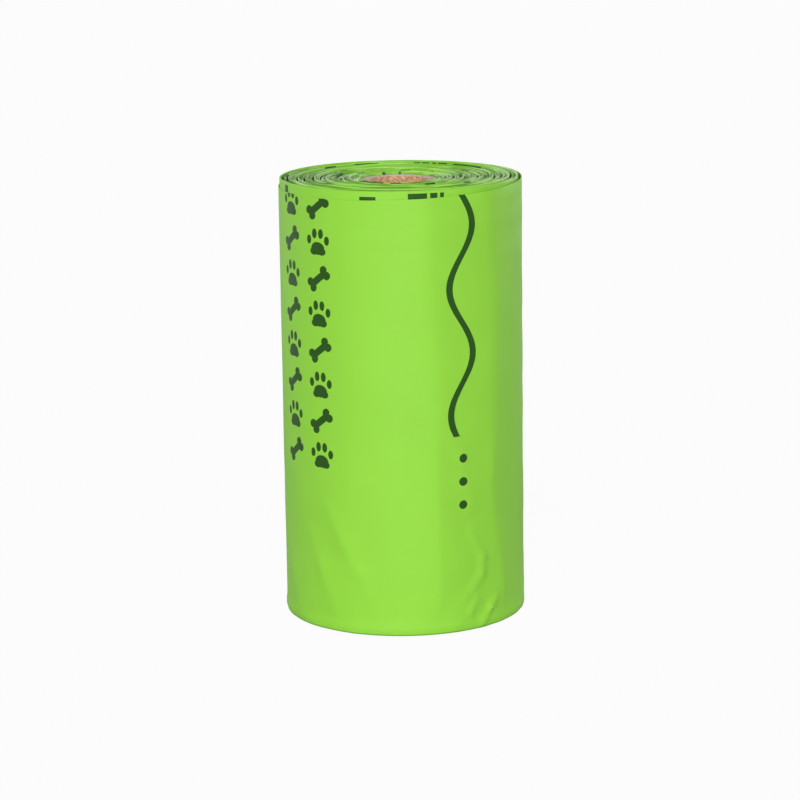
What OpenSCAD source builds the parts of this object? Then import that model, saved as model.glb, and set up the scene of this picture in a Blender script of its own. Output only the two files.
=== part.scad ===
// Roll of dog waste bags: a folded strip of green plastic film, wound on a short paper tube.
// It stands on its end. The origin is on the tube's axis at the lower end, and +Z runs up the axis.

/* [Paper tube] */
// Inside diameter of the tube
core_bore = 7.9; // [6:0.1:9]
// Wall of the tube
core_wall = 1.35; // [0.8:0.05:1.8]
// How far the tube's upper end sits below the highest edge of the film
core_recess = 0.6; // [0.2:0.1:1.2]

/* [Film] */
// Width of the folded strip of film, which is the height of the standing roll
film_width = 60; // [45:1:80]
// Diameter over the last turn
roll_d = 33.2; // [29:0.2:40]
// Turns that show as separate bands on the ends
turns = 18; // [14:1:20]
// Width of the dark gap between two bands
turn_gap = 0.14; // [0.1:0.01:0.2]
// Least play between the tube and the first turn, on the radius
core_play = 0.02; // [0.01:0.01:0.05]

/* [Loose end] */
// Thickness of the step that the loose end of the film makes on the outside
tail_step = 0.3; // [0.25:0.01:0.4]
// Direction of the loose end, from +X towards +Y
tail_angle = 40; // [0:5:180]
// How far the upper edge of the last turn lies below the others, beside the loose end
last_turn_drop = 0.15; // [0.1:0.05:0.5]
// How far it lies below them on the opposite side, where it sags most
last_turn_sag = 1.45; // [0.8:0.05:2]

/* [Ends of the roll] */
// How far the upper edges of the bands rise or fall from their mean height
edge_wander = 0.3; // [0.1:0.05:0.5]
// Depth of the gaps between bands on the upper end, below the lowest edge of the film
upper_gap_depth = 0.8; // [0.5:0.1:1.5]
// Depth of the gaps between bands on the lower end
lower_gap_depth = 1; // [0.5:0.1:2]

/* [Hidden] */
$fn = 120;
// How far a cut runs past the face that it opens, and a band runs down into the body of the roll
margin = 1;
// Half the size of the block that trims the upper edges, which has to reach right across the roll
reach = roll_d;
// Phase between the rises of one half turn and the next, which keeps neighbours at unlike heights
wander_phase = 140;

core_r = core_bore / 2 + core_wall;
core_length = film_width - core_recess;

// Each half turn is an arc. The two centres lie half a pitch apart, so that the arcs join into a spiral.
// The pitch is rounded down to a whole number of steps, so that they join without the least gap.
pitch_step = 0.002;
spiral_end_r = (roll_d - tail_step) / 2;
pitch = pitch_step * floor((spiral_end_r - core_r - core_play) / (turns * pitch_step));
wound_from_r = spiral_end_r - turns * pitch;
half_turns = 2 * turns;

mean_edge_z = film_width - edge_wander;
upper_gap_floor_z = mean_edge_z - last_turn_sag - upper_gap_depth;
band_root_z = upper_gap_floor_z - margin;
last_edge_z = mean_edge_z - (last_turn_sag + last_turn_drop) / 2;
last_edge_slope = (last_turn_sag - last_turn_drop) / (2 * spiral_end_r);

// Radius at which half turn i starts.
function arc_r(i) = wound_from_r + i * pitch / 2;

// Rise of the upper edge of half turn i at its middle. The first is the highest.
function edge_rise(i) = edge_wander * cos(wander_phase * i);

// Places a half turn on its own centre: even ones lie on +Y, and odd ones on -Y.
module on_half(i) {
    side = i % 2;
    translate([side * pitch / 2, 0, 0])
        rotate([0, 0, 180 * side])
            children();
}

// Half a ring on +Y, between two radii and two heights.
module half_ring(inner_r, outer_r, low_z, high_z)
    rotate_extrude(angle = 180)
        translate([inner_r, low_z])
            square([outer_r - inner_r, high_z - low_z]);

// Everything below a plane that passes a height on the axis and rises along +X by a slope.
module below_slope(axis_z, slope)
    translate([0, 0, axis_z])
        rotate([0, -atan(slope), 0])
            translate([-reach, -reach, -2 * reach])
                cube(2 * reach);

// Film between one gap and the next, which stands up on the upper end. Its edge rises or falls on the way.
module band(i) {
    outer_r = arc_r(i) + pitch;
    on_half(i)
        intersection() {
            half_ring(arc_r(i) + turn_gap, outer_r, band_root_z, film_width);
            rotate([0, 0, 90])
                below_slope(mean_edge_z, edge_rise(i) / outer_r);
        }
}

// The whole roll between two heights, with the step of the loose end at +X.
module roll_outline(low_z, high_z) {
    half_ring(0, spiral_end_r, low_z, high_z);
    translate([tail_step / 2, 0, 0])
        rotate([0, 0, 180])
            half_ring(0, spiral_end_r + tail_step / 2, low_z, high_z);
}

// Last turn above the floor of the gaps. Its upper edge sags on the side opposite the loose end.
module last_turn()
    difference() {
        intersection() {
            roll_outline(band_root_z, film_width);
            below_slope(last_edge_z, last_edge_slope);
        }
        for (i = [half_turns - 2 : half_turns - 1])
            on_half(i)
                half_ring(0, arc_r(i) + turn_gap, 0, film_width + margin);
    }

// Spiral gap that opens on the lower end.
module lower_gap()
    for (i = [0 : half_turns - 1])
        on_half(i)
            half_ring(arc_r(i), arc_r(i) + turn_gap, -margin, lower_gap_depth);

module paper_core()
    color([0.72, 0.52, 0.38])
        difference() {
            cylinder(r = core_r, h = core_length);
            translate([0, 0, -margin])
                cylinder(d = core_bore, h = core_length + 2 * margin);
        }

module bag_roll()
    color([0.61, 0.88, 0.32])
        rotate([0, 0, tail_angle])
            difference() {
                union() {
                    roll_outline(0, upper_gap_floor_z);
                    for (i = [0 : half_turns - 3])
                        band(i);
                    last_turn();
                }
                lower_gap();
                translate([0, 0, -margin])
                    cylinder(r = wound_from_r, h = film_width + 2 * margin);
            }

paper_core();
bag_roll();
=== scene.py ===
import math
import random

import bpy
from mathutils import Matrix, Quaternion, Vector, noise


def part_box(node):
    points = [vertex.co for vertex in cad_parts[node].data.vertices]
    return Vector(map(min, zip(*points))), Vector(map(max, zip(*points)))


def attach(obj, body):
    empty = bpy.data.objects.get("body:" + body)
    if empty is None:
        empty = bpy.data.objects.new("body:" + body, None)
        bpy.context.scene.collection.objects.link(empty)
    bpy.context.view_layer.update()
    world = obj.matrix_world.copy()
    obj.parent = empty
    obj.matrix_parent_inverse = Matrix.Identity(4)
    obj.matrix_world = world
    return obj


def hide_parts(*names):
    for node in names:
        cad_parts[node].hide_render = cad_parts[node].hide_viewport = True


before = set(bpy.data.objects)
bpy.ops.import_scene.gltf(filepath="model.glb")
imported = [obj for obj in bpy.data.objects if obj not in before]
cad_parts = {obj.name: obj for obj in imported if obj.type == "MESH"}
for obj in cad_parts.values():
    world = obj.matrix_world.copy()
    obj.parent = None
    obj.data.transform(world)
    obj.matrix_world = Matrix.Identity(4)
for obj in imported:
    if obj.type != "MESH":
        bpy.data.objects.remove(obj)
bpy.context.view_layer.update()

# Camera. It stands well in front of the roll and a little above its upper end, with a long lens, so
# that both ends show as flat ovals. It is held very slightly askew, as a camera in the hand is.
mm = 0.001
camera_place = Vector((0, -370, 109.6)) * mm
aim = Vector((0, 0, 30)) * mm
askew = math.radians(-0.77)
bpy.ops.object.camera_add(location=camera_place)
camera = bpy.context.object
camera.name = "camera"
camera.rotation_mode = "QUATERNION"
camera.rotation_quaternion = (aim - camera_place).to_track_quat("-Z", "Y") @ Quaternion((0, 0, 1), askew)
camera.data.lens = 123.9
camera.data.sensor_width = 36
camera.data.shift_x = -0.0022
camera.data.shift_y = -0.0103
bpy.context.scene.camera = camera


# Floor and light. The roll stands on a broad white table in a white room, with one broad soft light in
# front of it and above, and two weaker ones behind it that lighten its sides. The table shows white to
# the camera and keeps a faint shadow.
class Wire:
    """An output of a shader node. Sums, products and the like of wires add Math nodes to their tree."""

    def __init__(self, socket):
        self.socket = socket

    @staticmethod
    def node(tree, kind, settings=None, inputs=None):
        """Adds a node of a kind, sets it up, and feeds its inputs, which go by name or by number."""
        made = tree.nodes.new(kind)
        for name, value in (settings or {}).items():
            setattr(made, name, value)
        for name, value in (inputs or {}).items():
            if isinstance(value, Wire):
                tree.links.new(value.socket, made.inputs[name])
            else:
                made.inputs[name].default_value = value
        return made

    def math(self, operation, *others):
        values = dict(enumerate((self, *others)))
        made = Wire.node(self.socket.id_data, "ShaderNodeMath", {"operation": operation}, values)
        return Wire(made.outputs[0])

    def __add__(self, other):
        return self.math("ADD", other)

    def __radd__(self, other):
        return self.math("ADD", other)

    def __sub__(self, other):
        return self.math("SUBTRACT", other)

    def __rsub__(self, other):
        return self.math("MULTIPLY_ADD", -1, other)

    def __mul__(self, other):
        return self.math("MULTIPLY", other)

    def __rmul__(self, other):
        return self.math("MULTIPLY", other)

    def __truediv__(self, other):
        return self.math("DIVIDE", other)

    def __mod__(self, other):
        return self.math("FLOORED_MODULO", other)

    def __abs__(self):
        return self.math("ABSOLUTE")

    def held(self):
        """The same value, kept between 0 and 1."""
        kept = self.math("ADD", 0)
        kept.socket.node.use_clamp = True
        return kept

    def __gt__(self, other):
        return self.math("GREATER_THAN", other)

    def __lt__(self, other):
        return self.math("LESS_THAN", other)


bpy.ops.mesh.primitive_plane_add(size=4)
floor = bpy.context.object
floor.name = "floor"
table_white = bpy.data.materials.new("table_white")
table_white.use_nodes = True
tree = table_white.node_tree
tree.nodes.clear()
ray = Wire.node(tree, "ShaderNodeLightPath")
matt = Wire.node(tree, "ShaderNodeBsdfDiffuse", {}, {"Color": (0.5, 0.5, 0.5, 1)})
bright = Wire.node(tree, "ShaderNodeEmission", {}, {"Color": (1, 1, 1, 1), "Strength": 1})
shown_white = 0.96
shown = Wire(ray.outputs["Is Camera Ray"]) * shown_white
mixed = Wire.node(tree, "ShaderNodeMixShader", {}, {
    0: shown,
    1: Wire(matt.outputs[0]),
    2: Wire(bright.outputs[0]),
})
Wire.node(tree, "ShaderNodeOutputMaterial", {}, {"Surface": Wire(mixed.outputs[0])})
floor.data.materials.append(table_white)

room = bpy.data.worlds.new("room")
bpy.context.scene.world = room
room.use_nodes = True
tree = room.node_tree
tree.nodes.clear()
ray = Wire.node(tree, "ShaderNodeLightPath")
room_light = 0.08
mirrored = 0.7
to_camera = Wire(ray.outputs["Is Camera Ray"]) * (1 - room_light)
seen = to_camera + Wire(ray.outputs["Is Glossy Ray"]) * mirrored + room_light
walls = Wire.node(tree, "ShaderNodeBackground", {}, {"Color": (1, 1, 1, 1), "Strength": seen})
Wire.node(tree, "ShaderNodeOutputWorld", {}, {"Surface": Wire(walls.outputs[0])})

light_way = Vector((50, 580, -260))
bpy.ops.object.light_add(type="SUN", location=-light_way * mm)
lamp = bpy.context.object
lamp.name = "soft_lamp"
lamp.rotation_euler = light_way.to_track_quat("-Z", "Y").to_euler()
lamp.data.angle = math.radians(55)
lamp.data.energy = 3.1
for side in (-1, 1):
    glow_way = Vector((-side * 500, -500, -60))
    bpy.ops.object.light_add(type="SUN", location=-glow_way * mm)
    glow = bpy.context.object
    glow.name = "glow_left" if side < 0 else "glow_right"
    glow.rotation_euler = glow_way.to_track_quat("-Z", "Y").to_euler()
    glow.data.angle = math.radians(40)
    glow.data.energy = 1.9 + side * 0.25
bpy.context.scene.view_settings.view_transform = "Standard"

# Film turns. Bags of thin green plastic, joined end to end at lines of perforation, are folded into one
# narrow strip of many plies and wound on the tube. The turns lie tight in bands of three or four, with
# gaps between the bands where the winding slipped, and the strip's edges rise and fall from band to band.
core_low, core_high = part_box("paper_core")
roll_low, roll_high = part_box("bag_roll")
turns = 72
film = 0.1 * mm
lay = 0.113 * mm
tail_way = math.radians(40)
tail_step = 0.3 * mm
first_r = core_high.x + 0.03 * mm
room_for_creases = 0.12 * mm
last_r = roll_high.y - film - room_for_creases

random.seed(11)
bands = 20
crossing = 0.12
gap_turns = [turns / bands * (k + random.uniform(0.75, 1.25)) for k in range(bands - 1)]
gap_shares = [random.uniform(0.9, 1.7) if k % 2 else random.uniform(0.3, 0.8) for k in range(bands - 1)]
gap_shares[-1] = 1.8
last_gap = 0.12 * mm
gap_total = last_r - first_r - lay * (turns - 1) - last_gap
gap_widths = [gap_total * share / sum(gap_shares) for share in gap_shares]
gap_turns.append(turns - 1 - crossing)
gap_widths.append(last_gap)
band_offsets = [(random.uniform(0.01, 0.05) * mm, random.uniform(0, 2 * math.pi)) for gap in gap_turns]
band_offsets[0] = (0, 0)
band_offsets[-1] = (0.06 * mm, math.radians(-40))
band_offsets.append((0, 0))
# How far the upper edge of each band lies below the top of the roll, from the tube outwards, in mm.
band_drops = [
    0.28, 0.32, 0.34, 0.26, 0.36, 0.46, 0.2, 0.36, 0.14, 0.24, 0.36, 0.1, 0.24, 0.08, 0.3, 0.06, 0.2,
    0.06, 0.14, 0.02, 0.15,
]


def smooth(share):
    """A soft step from 0 to 1."""
    share = min(max(share, 0), 1)
    return share * share * (3 - 2 * share)


def off_centre(band, turn):
    """How far a band of turns bulges outwards, because it doesn't lie quite centred on the tube."""
    size, way = band_offsets[band]
    return size * math.sin(2 * math.pi * turn + way)


def inner_face(turn):
    """Radius of the film's inner face. Turns are counted from the tube, and grow over their second half."""
    whole = min(int(turn), turns - 1)
    swing = (1 + math.cos(2 * math.pi * turn)) / 2 if turn - whole > 0.5 else 0
    radius = first_r + lay * whole + swing * (tail_step if whole == turns - 1 else lay)
    for k, start in enumerate(gap_turns):
        opened = smooth((turn - start) / crossing)
        radius += opened * (gap_widths[k] + off_centre(k + 1, turn) - off_centre(k, turn))
    return radius


def ripple(turn, waves_per_turn, start):
    """Smooth wandering between about -1 and 1 along the strip."""
    return 1.6 * noise.noise(Vector((turn * waves_per_turn, start, 0.5)))


def upper_edge(turn):
    """Height of the strip's upper edge. Each band is a little crowned, and the last turn sags in front."""
    drop = band_drops[0]
    start = 0
    end = turns - 1
    for k, gap_turn in enumerate(gap_turns):
        drop += smooth((turn - gap_turn) / crossing) * (band_drops[k + 1] - band_drops[k])
        if gap_turn <= turn:
            start = gap_turn
        else:
            end = min(end, gap_turn)
    if turn < gap_turns[-1]:
        share = (turn - start) / (end - start)
        drop += 0.08 * (2 * share - 1) ** 2 + 0.08 * ripple(turn, 0.8, 3) + 0.02 * ripple(turn, 9, 17)
    else:
        swing = 1 - math.cos(2 * math.pi * turn)
        drop += (0.575 * swing + 0.02 * ripple(turn, 9, 21)) * smooth((turn - gap_turns[-1]) * 8)
    return roll_high.z - max(drop, 0) * mm


def lower_edge(turn):
    """Height of the strip's lower edge. The last turn stands on the table all round."""
    lifted = 0.15 + 0.1 * ripple(turn, 1.1, 33) + 0.05 * ripple(turn, 4.3, 41)
    return (max(lifted, 0) * smooth((turns - 1 - turn) * 4) + 0.06) * mm


def torn(height):
    """How much of a turn is missing at a height of the strip's last edge, which is a torn perforation."""
    return 0.0022 * (1 + math.sin(3.6 * height / mm))


def along(turn):
    """Length of film from the tube to a turn."""
    return 2 * math.pi * turn * (first_r + (last_r - first_r) * turn / (2 * turns))


def way_of(turn):
    """Direction of a point on the strip, in degrees to the right of the front of the roll, -180 to 180."""
    return (360 * turn + math.degrees(tail_way) + 90 + 180) % 360 - 180


def wind(name, first_turn, last_turn, columns, rows, relief, finishes):
    """Lays a strip flat, with its length on X, winds it onto the roll and gives it its thickness."""
    bpy.ops.object.select_all(action="DESELECT")
    bpy.ops.mesh.primitive_grid_add(x_subdivisions=columns, y_subdivisions=rows, size=1)
    strip = bpy.context.object
    strip.name = name
    for finish in finishes:
        strip.data.materials.append(finish)
    front_turn = turns - (90 + math.degrees(tail_way)) / 360
    places = []
    for vertex in strip.data.vertices:
        turn = first_turn + (vertex.co.x + 0.5) * (last_turn - first_turn)
        low = lower_edge(turn)
        height = low + (vertex.co.y + 0.5) * (upper_edge(turn) - low)
        if turn > turns - 0.001:
            turn -= torn(height)
        radius = inner_face(turn) + relief(turn, height)
        angle = 2 * math.pi * turn + tail_way
        vertex.co = (radius * math.cos(angle), radius * math.sin(angle), height)
        places.append((along(turn) - along(front_turn), height))
    for loop in strip.data.loops:
        strip.data.uv_layers[0].data[loop.index].uv = places[loop.vertex_index]
    thickness = strip.modifiers.new("thickness", "SOLIDIFY")
    thickness.thickness = film
    thickness.offset = 1
    thickness.material_offset_rim = 1
    rounding = strip.modifiers.new("rounding", "BEVEL")
    rounding.width = 0.03 * mm
    rounding.segments = 1
    rounding.angle_limit = math.radians(50)
    rounding.material = 1
    bpy.ops.object.modifier_apply(modifier="thickness")
    bpy.ops.object.modifier_apply(modifier="rounding")
    bpy.ops.object.shade_smooth_by_angle(angle=math.radians(35))
    return strip


green = (0.31, 0.72, 0.06, 1)
ring_shade_green = (0.08, 0.24, 0.015, 1)
shadow_green = (0.03, 0.09, 0.01, 1)
ring_light_green = (0.55, 0.93, 0.22, 1)
# A pale frosted green, which also paints a sheen on the folded edges at the sides.
pale_fold_sheen_green = (0.72, 0.86, 0.56, 1)
ink_green = (0.022, 0.086, 0.01, 1)
# Radius from which the film is the last turn, height below which the gaps of the upper end get painted
# shade, which holds for the upper half of the roll alone, and height of the foot's painted shadow, in mm.
last_turn_from = 15.9
gap_shade_from = 59.58
half_height = 30
foot_shadow_height = 0.21

# Each ring of dashes lies between two radii and below a height, all in mm, with its places in degrees
# to the right of the front.
edge_top = 59.97
dashes_from = 58.3
dash_rings = [
    # The first ring is a dark line close round the tube in front, in the ink colour.
    (5.3, 6.2, edge_top, [(-62, -20), (-11, 3)]),
    (6.0, 6.9, edge_top, [(15, 27)]),
    (5.3, 5.75, edge_top, [(177, 180), (200, 205)]),
    (6.9, 7.3, edge_top, [(137, 142), (167, 178), (222, 234)]),
    (8.4, 9.0, edge_top, [(243, 262), (98, 104), (23, 33)]),
    (10.1, 10.8, edge_top, [(112, 124), (131, 137), (223, 233), (236, 241), (243, 266)]),
    (11.3, 12.3, edge_top, [(-57, -50), (-20, -2), (2, 9), (16, 23), (49, 56)]),
    (13.4, 14.0, edge_top, [(123, 146), (150, 156), (157, 160), (161.5, 166), (167, 171)]),
    (13.4, 14.2, edge_top, [(192, 207), (220, 229)]),
    (15.0, 15.6, edge_top, [(-47, -43), (-13, 0), (258, 266)]),
    (16.0, 16.3, 59.65, [(-70, -66), (4, 13), (14.5, 18), (19.3, 21.2)]),
    (16.0, 16.3, 59.25, [(-18.8, -11)]),
]


def blended(tree, amount, colour, other):
    """A colour that is blended towards another one by an amount from 0 to 1."""
    mixed = Wire.node(tree, "ShaderNodeMix", {"data_type": "RGBA"}, {0: amount, 6: colour, 7: other})
    return Wire(mixed.outputs[2])


def place_on_roll(tree):
    """Where a point lies: to the right, to the back, up, and from the axis of the roll, all in mm."""
    place = Wire.node(tree, "ShaderNodeTexCoord")
    apart = Wire.node(tree, "ShaderNodeSeparateXYZ", {}, {0: Wire(place.outputs["Object"])})
    right = Wire(apart.outputs["X"]) / mm
    back = Wire(apart.outputs["Y"]) / mm
    height = Wire(apart.outputs["Z"]) / mm
    return right, back, height, (right * right + back * back).math("SQRT")


def film_finish(name, ink_of, frost_and_sheen, layers_and_shade):
    """Satin green film with soft crinkles, and dark green ink where ink_of says so. The turns inside take
    their tone ring by ring: one amount deepens some rings and lightens others, partly as a tone of their
    own that differs at random and partly as painted shade, deeper in front, and painted light behind.
    Another amount whitens the folded edges at the left and right sides, as pale frosted film and a
    painted sheen. Down in the gaps of the upper end the green is darkened with painted shade, and so is
    the foot of the last turn, as a painted shadow of the table."""
    material = bpy.data.materials.new(name)
    material.use_nodes = True
    tree = material.node_tree
    place = Wire.node(tree, "ShaderNodeTexCoord")
    flat = Wire.node(tree, "ShaderNodeSeparateXYZ", {}, {0: Wire(place.outputs["UV"])})
    x = Wire(flat.outputs["X"]) / mm
    z = Wire(flat.outputs["Y"]) / mm
    solid = Wire(place.outputs["Object"])
    cloud = Wire.node(tree, "ShaderNodeTexNoise", {}, {"Vector": solid, "Scale": 90, "Detail": 3})
    mottle = Wire(cloud.outputs[0])
    darker = tuple(0.9 * part for part in green[:3]) + (1,)
    tone = blended(tree, mottle, darker, green)

    right, back, height, radius = place_on_roll(tree)
    ring_place = Wire.node(tree, "ShaderNodeCombineXYZ", {}, {
        0: right / radius * 1.3,
        1: back / radius * 1.3,
        2: radius * 3.2,
    })
    rings = Wire.node(tree, "ShaderNodeTexNoise", {}, {
        "Vector": Wire(ring_place.outputs[0]),
        "Scale": 1,
        "Detail": 2,
    })
    ring = Wire(rings.outputs[0])
    ring_tone = (ring * 9 - 4).held()
    inside = radius < last_turn_from
    wound_in = inside * layers_and_shade
    # Painted shade and light: the rings are deepened more in front and lightened more behind, on top of
    # their own tone, which differs at random from ring to ring.
    shade_frontwards = 1 - back / radius * 0.4
    tone = blended(tree, (1 - ring_tone) * wound_in * shade_frontwards, tone, ring_shade_green)
    tone = blended(tree, ring_tone * wound_in * (2 - shade_frontwards) * 0.5, tone, ring_light_green)
    # Painted sheen: the folded edges are whitened at the left and right sides alone, partly as pale frosted
    # film and partly as a painted sheen where they catch the light.
    side_frost_and_sheen = (right / radius).math("POWER", 6) * (ring * 9 - 4.2).held() * frost_and_sheen
    tone = blended(tree, side_frost_and_sheen, tone, pale_fold_sheen_green)

    # Painted shade: the film is darkened with shadow green down in the gaps of the upper end, more so in
    # front.
    painted_gap_shade = ((gap_shade_from - height) / 0.4).held() * (height > half_height)
    painted_gap_shade = painted_gap_shade * inside * shade_frontwards * (0.85 if layers_and_shade else 0)
    # Painted shadow: the foot of the last turn, close to the table, is darkened with shadow green.
    painted_foot_shadow = (height < foot_shadow_height) * (radius > last_turn_from) * 0.52
    tone = blended(tree, painted_gap_shade + painted_foot_shadow, tone, shadow_green)
    tone = blended(tree, ink_of(tree, x, z), tone, ink_green)

    crinkle = Wire.node(tree, "ShaderNodeTexNoise", {}, {
        "Vector": solid,
        "Scale": 700,
        "Detail": 4,
        "Roughness": 0.6,
    })
    plies = Wire.node(tree, "ShaderNodeTexNoise", {"noise_dimensions": "1D"}, {"W": z * 0.9, "Detail": 3})
    bumps = Wire(crinkle.outputs[0]) * 0.5 + Wire(plies.outputs[0]) * 0.6
    bump = Wire.node(tree, "ShaderNodeBump", {}, {"Strength": 0.25, "Distance": 0.05 * mm, "Height": bumps})
    shader = tree.nodes["Principled BSDF"]
    tree.links.new(tone.socket, shader.inputs["Base Color"])
    tree.links.new(bump.outputs[0], shader.inputs["Normal"])
    tree.links.new((0.36 + mottle * 0.14).socket, shader.inputs["Roughness"])
    shader.inputs["Specular IOR Level"].default_value = 0.2
    return material


def dashes(tree, x, z):
    """Short dark dashes in the ink colour at a radius and a direction: ink of the print that reaches the
    folded edges, and a dark line close round the tube in front.
    """
    right, back, height, radius = place_on_roll(tree)
    way = (right.math("ARCTAN2", 0 - back) * (180 / math.pi) + 90) % 360 - 90
    ink = 0
    for from_r, to_r, top, places in dash_rings:
        here = 0
        for from_way, to_way in places:
            here = (abs(way - (from_way + to_way) / 2) < (to_way - from_way) / 2) + here
        ink = here * (abs(radius - (from_r + to_r) / 2) < (to_r - from_r) / 2) * (height < top) + ink
    return ink * (height > dashes_from)


# The outer turn is a piece of its own, and starts a little early, under its own loose end.
under_tail = 20 / 360
columns_per_turn = 96
strip_turns = turns - 1 - under_tail
film_turns = wind(
    "film_turns",
    0,
    strip_turns,
    round(strip_turns * columns_per_turn),
    1,
    lambda turn, height: 0,
    [film_finish("film_inside", dashes, 0.4, 0.45), film_finish("film_edge_inside", dashes, 0.75, 0.85)],
)
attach(film_turns, "root")
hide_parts("bag_roll")

# Outer turn. The last turn of the same strip lies loose round the roll. It has the soft creases and the
# flats of a roll that was packed in a box, and it ends in a torn line of perforation at the back right.

# Soft creases, as direction and height at either end, half width and rise, in degrees and mm.
fold_lines = [
    (48.5, 3.6, 44.5, 2.5, 0.5, 0.24),
    (44.5, 2.5, 39.5, 0.8, 0.5, 0.24),
    (36.5, 4.2, 33, 2.6, 0.6, 0.14),
    (33, 2.6, 25, 1.2, 0.7, 0.1),
    (33.5, 13.6, 40.2, 9.8, 0.7, 0.13),
    (40.2, 9.8, 39.6, 7.5, 0.7, 0.15),
    (39.6, 7.5, 34.5, 5.8, 0.7, 0.13),
    (34.5, 5.8, 22, 2.2, 0.9, 0.08),
    (28, 24, 34, 17, 0.9, 0.08),
    (21, 30, 27, 24, 1.1, 0.06),
    (-38, 17, -30, 12.5, 1.1, 0.12),
    (-30, 12.5, -21, 8.2, 1.2, 0.1),
    (-21, 8.2, -17, 5, 1.1, 0.07),
    (-50, 13, -43, 8.5, 1.2, 0.12),
    (-43, 8.5, -36, 3, 1.2, 0.1),
    (-70, 9, -61, 2, 1.2, 0.08),
    (92, 4, 82, 1.6, 1.3, 0.1),
    (150, 44, 172, 30, 1.3, 0.07),
    (-150, 20, -128, 11, 1.2, 0.08),
    (-100, 36, -92, 22, 1.5, 0.05),
    (105, 16, 93, 6, 1.0, 0.06),
]
# Upright edges between the flats of the last turn, each as heights and directions up the strip. Then how
# flat the film lies between one edge and the next, and how far each edge stands out in mm.
flat_edges = [
    [(0, -26), (60, -26)],
    [(0, 17), (39, 16.5), (46, 13.5), (60, 12.5)],
    [(0, 56), (8, 53), (13, 49), (19, 45.5), (28, 48), (46, 49.5), (52, 47.5), (60, 44)],
    [(0, 67), (60, 66)],
]
flatness = [0.2, 0.5, 0.6]
edge_lifts = [0, 0.3, 0.28, 0]


def flats(way, tall):
    """How far the last turn stands off a round shape, as flats that meet at the upright edges."""
    edges = []
    for points in flat_edges:
        for (low, at_low), (high, at_high) in zip(points, points[1:]):
            if low <= tall <= high:
                share = (tall - low) / (high - low)
                edges.append(at_low + share * (at_high - at_low))
                break
    stand = 0
    for k, flat in enumerate(flatness):
        if edges[k] <= way < edges[k + 1]:
            share = (way - edges[k]) / (edges[k + 1] - edges[k])
            half = math.radians(edges[k + 1] - edges[k]) / 2
            middle = (edges[k] + edges[k + 1]) / 2
            hollow = 1 - math.cos(half) / math.cos(math.radians(way - middle))
            stand = edge_lifts[k] + share * (edge_lifts[k + 1] - edge_lifts[k]) - flat * hollow * last_r / mm
    return stand


def crease(way, height, fold):
    """Height of one crease, which is a soft ridge between two points given as direction and height."""
    way_0, height_0, way_1, height_1, width, rise = fold
    degree = math.radians(1) * last_r / mm
    along_x = (way_1 - way_0) * degree
    along_z = height_1 - height_0
    to_x = (way - way_0) * degree
    to_z = height - height_0
    share = (to_x * along_x + to_z * along_z) / (along_x ** 2 + along_z ** 2)
    share = min(max(share, 0), 1)
    away = math.hypot(to_x - share * along_x, to_z - share * along_z)
    return rise * math.exp(-(away / width) ** 2)


def outer_relief(turn, height):
    """How far the last turn stands off its round shape."""
    way = way_of(turn)
    tall = height / mm
    around = Vector((math.cos(math.radians(way)), math.sin(math.radians(way)), 0))
    # The flats, which are blurred more up the roll, and fade at its foot.
    blur = 0.9 + 2.5 * smooth((tall - 22) / 12)
    stand = sum(flats(way + k * blur / 2, tall) for k in (-2, -1, 0, 1, 2)) / 5 * smooth((tall - 0.5) / 5)
    # The creases, and a slow unevenness all over.
    stand += sum(crease(way, tall, fold) for fold in fold_lines)
    stand += 0.03 * noise.noise(around * 2.2 + Vector((0, 0, tall / 10)))
    # Rumples, coarse and fine, which are stronger on the right and low on the left.
    right_side = smooth((way - 12) / 20) * smooth((105 - way) / 20)
    left_foot = smooth((32 - tall) / 20) * smooth((-14 - way) / 12) * smooth((way + 85) / 20)
    rumple = 0.012 + 0.065 * max(right_side, left_foot)
    stand += rumple * noise.noise(around * 3.6 + Vector((5, 0, tall / 6)))
    stand += 0.4 * rumple * noise.noise(around * 9 + Vector((9, 0, tall / 2.6)))
    # Fine level ribs near the upper edge, and at the foot a small flare with a curled rim.
    stand += 0.03 * noise.noise(Vector((way / 60, 3, tall / 1.6))) * smooth((tall - 46) / 8)
    stand += 0.1 * (1 - smooth((tall - 0.8) / 1.2)) - 0.16 * max(1 - tall / 0.5, 0) ** 2
    # It never bites into the turn below it, and stays inside the square that bounds the roll.
    loose = smooth((turn - (turns - 1)) * 12)
    widest = 0.1 + last_r / mm * (1 / max(abs(around.x), abs(around.y)) - 1)
    return min(max(stand, -0.13), widest) * loose * mm


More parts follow.
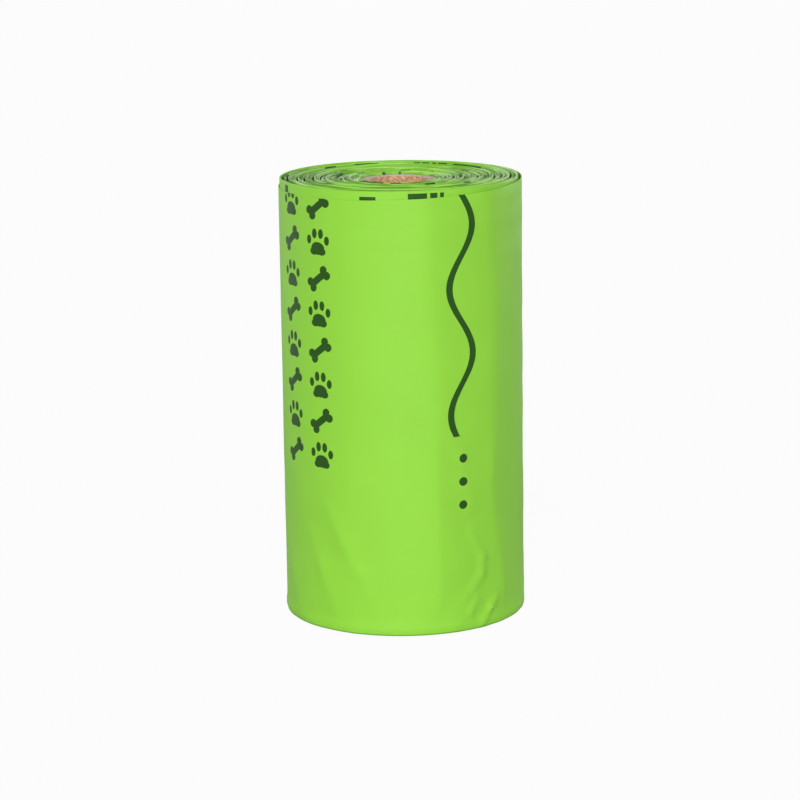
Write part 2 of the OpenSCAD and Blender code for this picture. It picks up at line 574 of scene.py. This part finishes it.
def print_of(tree, x, z):
    """Columns of paw prints and bones, and wavy lines with dots below them. x runs to the right of the
    front of the roll, and z up from its lower end, in mm."""

    def oval(from_x, from_z, half_x, half_z):
        return (from_x / half_x).math("POWER", 2) + (from_z / half_z).math("POWER", 2)

    cell = 4.8
    motifs_from = 21.6
    dots_from = 16
    dots_to = 25.6
    line_from = 27
    motifs = 0
    for column_x, first_row in ((-17.4, 0), (-11.7, 1), (-54.4, 0), (-48.7, 1)):
        row = ((z - motifs_from) / cell).math("FLOOR")
        up = z - motifs_from - row * cell - cell / 2
        across = x - column_x
        wide = abs(across)
        pad = oval(across, up + 0.75, 1.15, 0.85)
        lobes = oval(wide - 0.7, up + 1.15, 0.65, 0.5)
        inner_toes = oval(wide - 0.55, up - 1.2, 0.42, 0.65)
        outer_toes = oval(wide - 1.55, up - 0.35, 0.4, 0.6)
        paw = pad.math("MINIMUM", lobes).math("MINIMUM", inner_toes).math("MINIMUM", outer_toes) < 1
        slant_x = across * 0.8 + up * 0.6
        slant_z = up * 0.8 - across * 0.6
        knobs = oval(abs(slant_x) - 1.45, abs(slant_z) - 0.46, 0.6, 0.55)
        shank = (abs(slant_x) < 1.5) * (abs(slant_z) < 0.48)
        bone = shank.math("MAXIMUM", knobs < 1)
        turn_about = ((row + first_row) % 2) > 0.5
        chosen = paw * turn_about + bone * (1 - turn_about)
        motifs = chosen * (wide < 2.8) * (z > motifs_from) + motifs
    for line_x in (8.2, -28.8):
        wave_x = (z * (2 * math.pi / 17)).math("SINE") * 1.7 + line_x
        line = (abs(x - wave_x) < 0.48) * (z > line_from)
        dots = (oval(x - line_x, (z % 3.2) - 1.6, 0.6, 0.6) < 1) * (z > dots_from) * (z < dots_to)
        motifs = line + dots + motifs
    return motifs


outer_turn = wind(
    "outer_turn",
    strip_turns,
    turns,
    370,
    120,
    outer_relief,
    [film_finish("film_outside", print_of, 0, 0), film_finish("film_edge_outside", print_of, 0.3, 0.2)],
)
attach(outer_turn, "root")
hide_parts("bag_roll")

# Paper tube. Three plies of brown kraft paper are wound round one another on the slant and glued into a
# short tube, which is cut off square. The cut rim is greyer than the wall and shows the plies.
plies = 3
bore_r = 3.95 * mm
ply = (core_high.x - bore_r) / plies
# How far each ply ends below the rim of the tube, from the bore outwards, in mm.
rims = [0.0, 0.06, 0.02]


def paper_finish(name, dark, light):
    """Kraft paper, with fibres on the slant and fine pits."""
    material = bpy.data.materials.new(name)
    material.use_nodes = True
    tree = material.node_tree
    place = Wire.node(tree, "ShaderNodeTexCoord")
    solid = Wire(place.outputs["Object"])
    apart = Wire.node(tree, "ShaderNodeSeparateXYZ", {}, {0: solid})
    around = Wire(apart.outputs["Y"]).math("ARCTAN2", Wire(apart.outputs["X"])) * (bore_r / mm)
    up = Wire(apart.outputs["Z"]) / mm
    fibre_place = Wire.node(tree, "ShaderNodeCombineXYZ", {}, {
        0: (around - up) * 3.4,
        1: (around + up) * 0.9,
    })
    fibres = Wire.node(tree, "ShaderNodeTexNoise", {}, {
        "Vector": Wire(fibre_place.outputs[0]),
        "Scale": 1,
        "Detail": 4,
    })
    pits = Wire.node(tree, "ShaderNodeTexNoise", {}, {"Vector": solid, "Scale": 3500, "Detail": 2})
    blend = (Wire(fibres.outputs[0]) * 1.6 + Wire(pits.outputs[0]) * 0.9 - 0.75).held()
    tone = blended(tree, blend, dark, light)
    bump = Wire.node(tree, "ShaderNodeBump", {}, {"Strength": 0.7, "Distance": 0.08 * mm, "Height": blend})
    shader = tree.nodes["Principled BSDF"]
    tree.links.new(tone.socket, shader.inputs["Base Color"])
    tree.links.new(bump.outputs[0], shader.inputs["Normal"])
    shader.inputs["Roughness"].default_value = 0.85
    shader.inputs["Specular IOR Level"].default_value = 0.25
    return material


kraft_wall = paper_finish("kraft_wall", (0.2, 0.07, 0.02, 1), (0.95, 0.6, 0.36, 1))
kraft_rim = paper_finish("kraft_rim", (0.5, 0.38, 0.28, 1), (0.8, 0.68, 0.55, 1))
bpy.ops.object.select_all(action="DESELECT")
ply_tubes = []
for k in range(plies):
    bpy.ops.mesh.primitive_cylinder_add(
        vertices=144,
        radius=bore_r + k * ply,
        depth=core_high.z - rims[k] * mm,
        end_fill_type="NOTHING",
        location=(0, 0, (core_high.z - rims[k] * mm) / 2),
    )
    tube = bpy.context.object
    tube.data.materials.append(kraft_wall)
    tube.data.materials.append(kraft_rim)
    wall = tube.modifiers.new("wall", "SOLIDIFY")
    wall.thickness = ply
    wall.offset = 1
    wall.material_offset_rim = 1
    soften = tube.modifiers.new("soften", "BEVEL")
    soften.width = 0.07 * mm
    soften.segments = 2
    soften.angle_limit = math.radians(50)
    soften.material = 1
    bpy.ops.object.modifier_apply(modifier="wall")
    bpy.ops.object.modifier_apply(modifier="soften")
    bpy.ops.object.transform_apply(location=True, rotation=False, scale=False)
    ply_tubes.append(tube)
for tube in ply_tubes:
    tube.select_set(True)
bpy.ops.object.join()
paper_tube = bpy.context.object
paper_tube.name = "paper_tube"
bpy.ops.object.shade_smooth_by_angle(angle=math.radians(40))
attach(paper_tube, "root")
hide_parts("paper_core")
